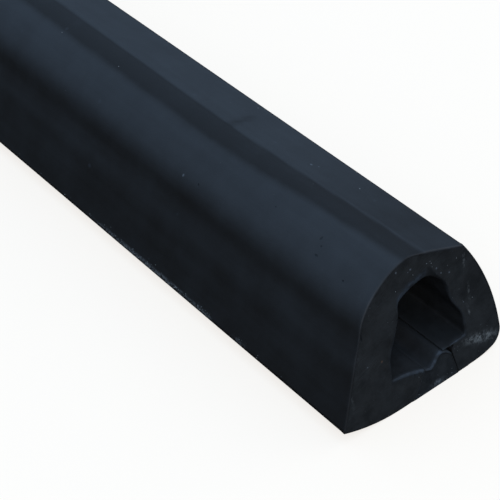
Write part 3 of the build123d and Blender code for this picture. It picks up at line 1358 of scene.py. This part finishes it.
    def _outside(self, loop: Outline, left_foot: tuple, right_foot: tuple, toe: float) -> None:
        """Adds the base, the toes, the flanks and the crown.

        Args:
            loop: The outline to add to.
            left_foot: The slit's left corner on the ground.
            right_foot: The slit's right corner on the ground.
            toe: Half of the base's width.
        """
        step, edge = self.step, (0.9 * MM, 0.9 * MM)
        left_toe, right_toe = (-toe, self.left_toe_lift), (toe, self.right_toe_lift)
        left_base, right_base = (-toe + self.left_toe_run, 0.0), (toe - self.right_toe_run, 0.0)
        left_shoulder = (-toe + self.left_shoulder_in, self.height - self.left_shoulder_drop)
        left_haunch = (-toe + self.left_haunch_in, self.height - self.left_haunch_drop)
        right_shoulder = (toe - self.right_shoulder_in, self.height - self.right_shoulder_drop)
        crown, valley = (self.crown_x, self.height), (self.valley_x, self.height - self.valley_drop)
        fall = (-1, self.valley_fall)
        reach = self.right_toe_radius * 0.8
        under = (right_toe[0] - reach, right_toe[1] - reach * 0.36)
        over = (right_toe[0] - reach * 0.03, right_toe[1] + reach)
        ground = (0.5 * MM, 0.6 * MM)
        down, turn = np.subtract(left_toe, left_shoulder), np.subtract(left_shoulder, crown)
        slope = 2 * self.left_toe_lift / self.left_toe_run
        for run, radii in (
                (line(right_foot, right_base, step), ground),
                (sweep(right_base, under, (1, 0), (1, 0.36), step), edge),
                (sweep(under, over, (1, 0.36), (0.02, 1), step), edge),
                (bow(over, right_shoulder, self.right_flank_bulge * 0.86, step), edge),
                (sweep(right_shoulder, valley, fall, fall, step), edge),
                (sweep(valley, crown, fall, (-1, 0), step), edge),
                (sweep(crown, left_haunch, (-1, 0), turn, step), edge),
                (sweep(left_haunch, left_shoulder, turn, down, step), edge),
                (line(left_shoulder, left_toe, step), edge),
                (sweep(left_toe, left_base, (1, -slope), (1, 0), step), ground),
                (line(left_base, left_foot, step), ground)):
            loop.add(run, Zone.SKIN, radii)

    def _channel(self, loop: Outline, left_floor: tuple, right_floor: tuple) -> None:
        """Adds the channel's sides and roof, with the broad bevel at the roof's ends.

        The bevel runs up to a point on the sawn end, where the roof has chipped.

        Args:
            loop: The outline to add to.
            left_floor: The channel's lower left corner.
            right_floor: The channel's lower right corner.
        """
        step, edge, rubbed_and_highlight = self.step, (0.9 * MM, 0.9 * MM), (0.2, 0.2)
        roof_z = self.height - self.crown_thickness
        rise = (0.0, self.channel_side_height)
        left_haunch, right_haunch = (tuple(np.add(low, rise)) for low in (left_floor, right_floor))
        left_waist = (self.channel_x - self.waist_width / 2, roof_z - self.waist_below_roof)
        right_waist = (left_waist[0] + self.waist_width - self.right_waist_in,
                       left_waist[1] - self.right_waist_below)
        loop.add(line(left_floor, left_haunch, step), Zone.CHANNEL, edge, rubbed_and_highlight)
        loop.add(sweep(left_haunch, left_waist, (0, 1), (0.25, 1), step), Zone.CHANNEL, edge, rubbed_and_highlight)
        # Columns: place (x, z), the bevel's edge on the sawn end (x, z), and its pale edge colour,
        # which is painted highlight, full along the roof's left part.
        bevel = np.array([
            (*left_waist, left_waist[0] - 0.1 * MM, left_waist[1], 0.2),
            (-11.5 * MM, 51.6 * MM, -12.3 * MM, 52.2 * MM, 0.4),
            (-10.4 * MM, 54.7 * MM, -12.0 * MM, 57.6 * MM, 0.9),
            (-8.5 * MM, 56.8 * MM, -10.0 * MM, 61.0 * MM, 1.0),
            (-4.4 * MM, 58.6 * MM, -5.4 * MM, 63.4 * MM, 1.0),
            (0.9 * MM, 60.1 * MM, 0.2 * MM, 64.4 * MM, 1.0),
            (4.8 * MM, 60.8 * MM, 4.8 * MM, 65.0 * MM, 1.0),
            (7.6 * MM, 60.9 * MM, 7.8 * MM, 65.7 * MM, 0.8),
            (9.4 * MM, 60.7 * MM, 9.5 * MM, 66.6 * MM, 0.1),
            (11.4 * MM, 60.1 * MM, 10.9 * MM, 67.0 * MM, 0.0),
            (14.0 * MM, 58.7 * MM, 13.6 * MM, 62.6 * MM, 0.0),
            (16.6 * MM, 56.7 * MM, 16.7 * MM, 58.4 * MM, 0.1),
            (19.7 * MM, 53.6 * MM, 20.0 * MM, 54.0 * MM, 0.2),
            (21.2 * MM, 50.0 * MM, 21.5 * MM, 50.2 * MM, 0.2),
            (*right_waist, right_waist[0] + 0.3 * MM, right_waist[1], 0.2),
        ])
        loop.add_bevel(bevel, Zone.CHANNEL, self.bevel_depth, step * 0.7)
        loop.add(sweep(right_waist, right_haunch, (0.02, -1), (0.1, -1), step), Zone.CHANNEL, edge,
                 rubbed_and_highlight)
        loop.add(line(right_haunch, right_floor, step), Zone.CHANNEL, edge, rubbed_and_highlight)

    def hollow(self, x: float, y: float, z: float, zone: Zone) -> float:
        """The skin's hollows: its crown valley, its flank groove and its marks.

        Args:
            x: Place across the ramp.
            y: Place along the ramp.
            z: Height.
            zone: The kind of surface there.

        Returns:
            The depth of all the hollows there, in metres.
        """
        if zone is not Zone.SKIN or z < 1.5 * MM:
            return 0.0
        deep = 0.0
        if z > self.crown_z:
            near, crease = self.band(y)
            deep += self.valley_hollow * ease(x, near - 4 * MM, crease - 3 * MM) * (
                1 - ease(x, crease - 1.2 * MM, crease + 0.8 * MM))
        if x < self.left_side_x:
            deep += self.groove_depth * self.groove.at(z)
        if z > self.marked_z:
            deep += sum(mark.depth_at(x, y) for mark in self.marks)
        return deep

    def band(self, y: float) -> tuple[float, float]:
        """The edges of the crown's shallow valley, whose shade is painted as a dark band; it wanders
        towards the right wall.

        Args:
            y: Place along the ramp.

        Returns:
            The band's soft left edge and its crease, as places across the ramp.
        """
        drift = ease(-y, 0.13, 0.30) + 0.12 * noise.noise(Vector((0.2, y * 9, 0.4)))
        return -13 * MM + 8 * MM * drift, 1.9 * MM + 6.6 * MM * drift

    def tone(self, place: Vector, cut: bool) -> float:
        """Painted sheen on the crown, painted shade in its dark band and along the crease across it,
        and a painted highlight streak along the dark left flank.

        Args:
            place: Where it is.
            cut: Whether it lies on a sawn end.

        Returns:
            How much paler, or darker below 0, the rubber is there.
        """
        if cut:
            return 0.25 * bell(place.x, -32 * MM, 9 * MM) - 0.15 * bell(place.z, 4 * MM, 5 * MM)
        if place.z < self.resting_height:
            return 0.0
        near, crease = self.band(place.y)
        # inside: painted shade along the crown's shallow valley
        inside = ease(place.x, near - 3 * MM, near + 3 * MM) * (
            1 - ease(place.x, crease - 1.0 * MM, crease + 0.6 * MM))
        # right: painted sheen beside the crease, paler at the back and darker near the front
        right = ease(place.x, crease, crease + 3 * MM)
        right *= 0.22 - 0.55 * ease(-place.y, 0.17, 0.27)
        # crown: painted sheen, paler towards the top
        crown = ease(place.z, 54 * MM, 66 * MM) * (0.40 + right - 0.72 * inside)
        # painted shade along the crease across the crown
        fold_y = (place.x - 12 * MM) * 0.2 + self.fold_y
        crease_shade = bell(place.y, fold_y, self.fold_width) * ease(place.x, -3 * MM, 2 * MM) * (
            1 - ease(place.x, 16 * MM, 27 * MM))
        # painted highlight on the left flank's low ridge
        streak = 0.20 * self.flank_highlight_band.at(place.z) if place.x < self.left_side_x else 0.0
        return crown + streak - 0.5 * crease_shade - 0.22

    def scuff(self, place: Vector, cut: bool) -> float:
        """The dirt on the left toe, and the pale scuff and scratches on the front sawn end.

        Args:
            place: Where it is.
            cut: Whether it lies on a sawn end.

        Returns:
            How scuffed the rubber is there.
        """
        if not cut:
            toe = self.toe_scuff.at(place.z) if place.x < self.toe_side_x else 0.0
            return 1.5 * toe * self.dirt(place.y)
        if place.y > 0:
            return 0.0
        x, z = place.x - self.scuff_place[0], place.z - self.scuff_place[1]
        cos, sin = self.scuff_turn
        streak = self.scuff_along.at(x * cos + z * sin) * self.scuff_across.at(z * cos - x * sin)
        scratched = sum(scratch.at(place) for scratch in self.scratches)
        return min(1.0, 1.6 * streak + 0.9 * scratched)

    def dirt(self, y: float) -> float:
        """How much dirt clings to the left toe, in clumps along two parts of it.

        Args:
            y: Place along the ramp.

        Returns:
            The amount, from 0 to 1.
        """
        front = ease(y, -228 * MM, -205 * MM) * (1 - ease(y, -118 * MM, -80 * MM))
        back = ease(noise.noise(Vector((0.3, y * 9, 0.35))), -0.05, 0.3) * ease(y, 0.0, 40 * MM)
        return max(front, back) * ease(noise.noise(Vector((0.3, y * 70, 0.8))), -0.45, 0.15)

    def grit(self, place: Vector, cut: bool) -> float:
        """Grit along the left toe, and a little on the sawn ends and the crown.

        Args:
            place: Where it is.
            cut: Whether it lies on a sawn end.

        Returns:
            How much grit lies there, from 0 to 1.
        """
        if cut:
            return 0.004 + 0.013 * self.roof_grit.at(place.z)
        toe = self.toe_grit.at(place.z) if place.x < self.toe_side_x else 0.0
        top = 0.0004 if place.z > 50 * MM else 0.0
        return toe * (0.04 + 0.6 * self.dirt(place.y)) + top


@dataclass
class ClosingStrip(Moulding):
    """The wedge-shaped strip that fills the slit from below."""

    step: float = 1.2 * MM
    cap_step: float = 0.55 * MM
    centre_x: float = 10 * MM
    top_half: float = 9.5 * MM
    shoulder_z: float = 13.2 * MM
    dome_x: float = 12.0 * MM
    dome_z: float = 17.7 * MM
    hollow_x: float = 4.5 * MM
    hollow_z: float = 12.2 * MM
    left_flare: float = 9.2 * MM
    right_flare: float = 3.2 * MM
    ring_x: float = 12.5 * MM
    ring_z: float = 8.5 * MM
    ring_radius: float = 7.7 * MM
    ring_depth: float = 0.55 * MM
    set_back: float = 0.35 * MM
    left_set_back: float = 0.7 * MM
    left_part_x: tuple = (3.6 * MM, 4.9 * MM)

    def outline(self) -> Outline:
        """The strip's section: flat on the ground, flared sides, a hollow and a dome on top.

        Returns:
            The closed outline, counter-clockwise.
        """
        left, right = self.centre_x - self.top_half, self.centre_x + self.top_half
        foot_left, foot_right = (left - self.left_flare, 0.0), (right + self.right_flare, 0.0)
        side_right, side_left = (right, self.shoulder_z), (left, self.shoulder_z)
        dome, dip = (self.dome_x, self.dome_z), (self.hollow_x, self.hollow_z)
        loop, edge, fine = Outline(), 0.9 * MM, 0.15 * MM
        loop.add_seam(line(foot_left, foot_right, self.step), (fine, fine))
        loop.add_seam(line(foot_right, side_right, self.step), (fine, 0.6 * MM))
        loop.add(sweep(side_right, dome, (-0.9, 1), (-1, 0.05), self.step), Zone.CHANNEL,
                 (0.8 * MM, 1.2 * MM), (0.1, 0.7), 0.3)
        # The dome's edges are full pale: painted highlight on the strip's rounded top, over real
        # abrasion.
        loop.add(sweep(dome, dip, (-1, 0.0), (-1, -0.35), self.step), Zone.CHANNEL,
                 (1.3 * MM, 1.1 * MM), (1.0, 1.0))
        loop.add(sweep(dip, side_left, (-1, 0.1), (-1, 0.3), self.step), Zone.CHANNEL,
                 (1.0 * MM, edge), (0.9, 0.7))
        loop.add_seam(line(side_left, foot_left, self.step), (fine, fine))
        return loop

    def cut_hollow(self, x: float, z: float) -> float:
        """The strip's cut end has a ring left by its core and a set-back left part.

        Args:
            x: Place across the ramp.
            z: Height.

        Returns:
            How far the sawn end lies inside its plane, in metres.
        """
        away = math.hypot(x - self.ring_x, z - self.ring_z) - self.ring_radius
        ring = self.ring_depth * bell(away, 0.0, 0.6 * MM) if z > self.ring_z else 0.0
        left = self.left_set_back * self.left_part(x)
        return super().cut_hollow(x, z) + self.set_back + ring + left

    def left_part(self, x: float) -> float:
        """How far a place belongs to the strip's left part, from 0 to 1."""
        return 1 - ease(x, *self.left_part_x)

    def tone(self, place: Vector, cut: bool) -> float:
        """The strip's set-back left part is darker on the sawn end: painted shade."""
        return -0.5 * self.left_part(place.x) if cut else 0.0

    def scuff(self, place: Vector, cut: bool) -> float:
        """A few rubbed places along the strip's lower front edge.

        Args:
            place: Where it is.
            cut: Whether it lies on a sawn end.

        Returns:
            How scuffed the strip is there, from 0 to 1.
        """
        if not cut or place.y > 0:
            return 0.0
        return 0.9 * bell(place.z, 1.6 * MM, 1.2 * MM) * bell(place.x, 8.4 * MM, 3.2 * MM)

    def grit(self, place: Vector, cut: bool) -> float:
        """A little grit on the strip's ends."""
        return 0.03 * bell(place.z, 3 * MM, 3 * MM) if cut else 0.0


# --- Studio ---


@dataclass
class Studio:
    """Floor, lights, sky and camera."""

    camera_place: tuple = (-0.394243, -0.633963, 0.534548)
    camera_azimuth: float = math.radians(-39.847)
    camera_elevation: float = math.radians(40.841)
    sensor_width: float = 36.0
    lens: float = 1467.236 / 500 * 36
    floor_half: float = 6.0
    floor_glow: tuple = (0.80, 0.775, 0.745)
    floor_seen: tuple = (0.36, 0.31, 0.25)
    floor_mirrored: tuple = (0.086, 0.073, 0.058)
    sky_low: tuple = (0.060, 0.066, 0.075)
    sky_high: tuple = (0.44, 0.66, 0.98)
    sky_strength: float = 0.96
    lamp_colour: tuple = (1.0, 0.94, 0.87)

    def build(self) -> None:
        """Makes the whole studio."""
        self._floor()
        self._sky()
        self._camera()
        self._light("front_soft_light", (-1.2, -1.9, 1.3), 1.4, 9.0)
        self._light("side_soft_light", (2.2, -0.7, 1.5), 1.6, 7.0)
        bpy.context.scene.view_settings.view_transform = "Standard"
        LOG.info("studio: floor, sky, two soft lights and the camera")

    def _floor(self) -> None:
        """Makes a pale floor that is dark in reflections, so that black rubber stays black."""
        half = self.floor_half
        mesh = bpy.data.meshes.new("floor")
        mesh.from_pydata([(-half, -half, 0), (half, -half, 0), (half, half, 0), (-half, half, 0)],
                         [], [(0, 1, 2, 3)])
        floor = add_object("floor", mesh)
        made, wiring, shader = new_material("pale_floor")
        seen = wiring.add("ShaderNodeLightPath").outputs["Is Camera Ray"]
        wiring.join(shader.inputs["Base Color"],
                    wiring.blend(seen, rgba(self.floor_mirrored), rgba(self.floor_seen)))
        glow = wiring.blend(seen, rgba((0, 0, 0)), rgba(self.floor_glow))
        wiring.join(shader.inputs["Emission Color"], glow)
        shader.inputs["Emission Strength"].default_value = 1.0
        shader.inputs["Roughness"].default_value = 0.9
        shader.inputs["Specular IOR Level"].default_value = 0.0
        mesh.materials.append(made)

    def _sky(self) -> None:
        """Makes a soft sky, blue overhead and dim near the horizon."""
        world = bpy.data.worlds.new("soft_sky")
        bpy.context.scene.world = world
        world.use_nodes = True
        wiring = Wiring(world.node_tree)
        back = world.node_tree.nodes["Background"]
        place = wiring.add("ShaderNodeTexCoord").outputs["Generated"]
        height = wiring.add("ShaderNodeSeparateXYZ", Vector=place).outputs["Z"]
        share = wiring.mask(height, -0.05, 0.55)
        wiring.join(back.inputs["Color"],
                    wiring.blend(share, rgba(self.sky_low), rgba(self.sky_high)))
        back.inputs["Strength"].default_value = self.sky_strength

    def _light(self, name: str, place: tuple, size: float, power: float) -> None:
        """Adds a square soft light that faces the ramp.

        Args:
            name: The light's name.
            place: Where it stands.
            size: Length of its side.
            power: Its power in watts.
        """
        data = bpy.data.lights.new(name, "AREA")
        data.shape, data.size, data.energy = "SQUARE", size, power
        data.color = self.lamp_colour
        lamp = add_object(name, data)
        lamp.location = place
        lamp.rotation_euler = (-Vector(place)).to_track_quat("-Z", "Y").to_euler()

    def _camera(self) -> None:
        """Makes the camera and sets it as the scene's own."""
        data = bpy.data.cameras.new("camera")
        data.lens, data.sensor_width = self.lens, self.sensor_width
        data.clip_start, data.clip_end = 0.01, 50
        camera = add_object("camera", data)
        a, e = self.camera_azimuth, self.camera_elevation
        back = Vector((math.sin(a) * math.cos(e), -math.cos(a) * math.cos(e), math.sin(e)))
        camera.location = self.camera_place
        camera.rotation_mode = "QUATERNION"
        camera.rotation_quaternion = back.to_track_quat("Z", "Y")
        bpy.context.scene.camera = camera


# --- The whole ramp ---


@dataclass
class CableRamp:
    """The ramp: its arch, its closing strip and the grit on both."""

    length: float
    front_lean: float = math.radians(14.2)
    web_half: float = 6 * MM
    web_z: float = 70.85 * MM

    def build(self) -> None:
        """Makes and dresses every piece, and mounts the strip's pieces on the strip's body."""
        effects = SharedEffects()
        scatter = GritScatter()
        grit = scatter.tree(GritFinish().material())
        arch = Arch("arch", self.length, self.front_lean)
        skin = self._make(arch, ARCH_RUBBER.materials(effects), WeatheredSkin())
        crumbs = run_nodes(skin, grit, "arch_grit", scatter.values())
        for piece in (skin, crumbs):
            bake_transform(piece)
            LOG.info("%s: %d faces", piece.name, len(piece.data.polygons))
        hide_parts("left_wall", "left_lip", "crown_hinge", "right_wall", "right_lip")

        strip = ClosingStrip("closing_strip_moulding", self.length, self.front_lean)
        core = self._make(strip, STRIP_RUBBER.materials(effects),
                          WeatheredSkin(wave_depth=0.15 * MM, seed=3))
        crumbs = run_nodes(core, grit, "strip_grit", scatter.values() | {"Seed": 5})
        for piece in (core, crumbs):
            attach(piece, Body.STRIP.value)
            LOG.info("%s: %d faces", piece.name, len(piece.data.polygons))
        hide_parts("closing_strip")

    def _make(self, moulding: Moulding, materials: list,
              weather: WeatheredSkin) -> Object:
        """Builds a moulding and weathers it.

        Args:
            moulding: The moulding.
            materials: One material for each zone.
            weather: How the moulding is weathered.

        Returns:
            The finished piece.
        """
        section = moulding.build(moulding.outline())
        tree = weather.tree(moulding.name + "_skin", materials)
        piece = run_nodes(section, tree, moulding.name, weather.values())
        bpy.data.objects.remove(section)
        return piece


def main() -> None:
    """Builds the ramp and its studio."""
    logging.basicConfig(level=logging.INFO, format="%(name)s: %(message)s")
    CableRamp(length=CAD_BOX[1].y - CAD_BOX[0].y).build()
    Studio().build()


if __name__ == "__main__":
    main()
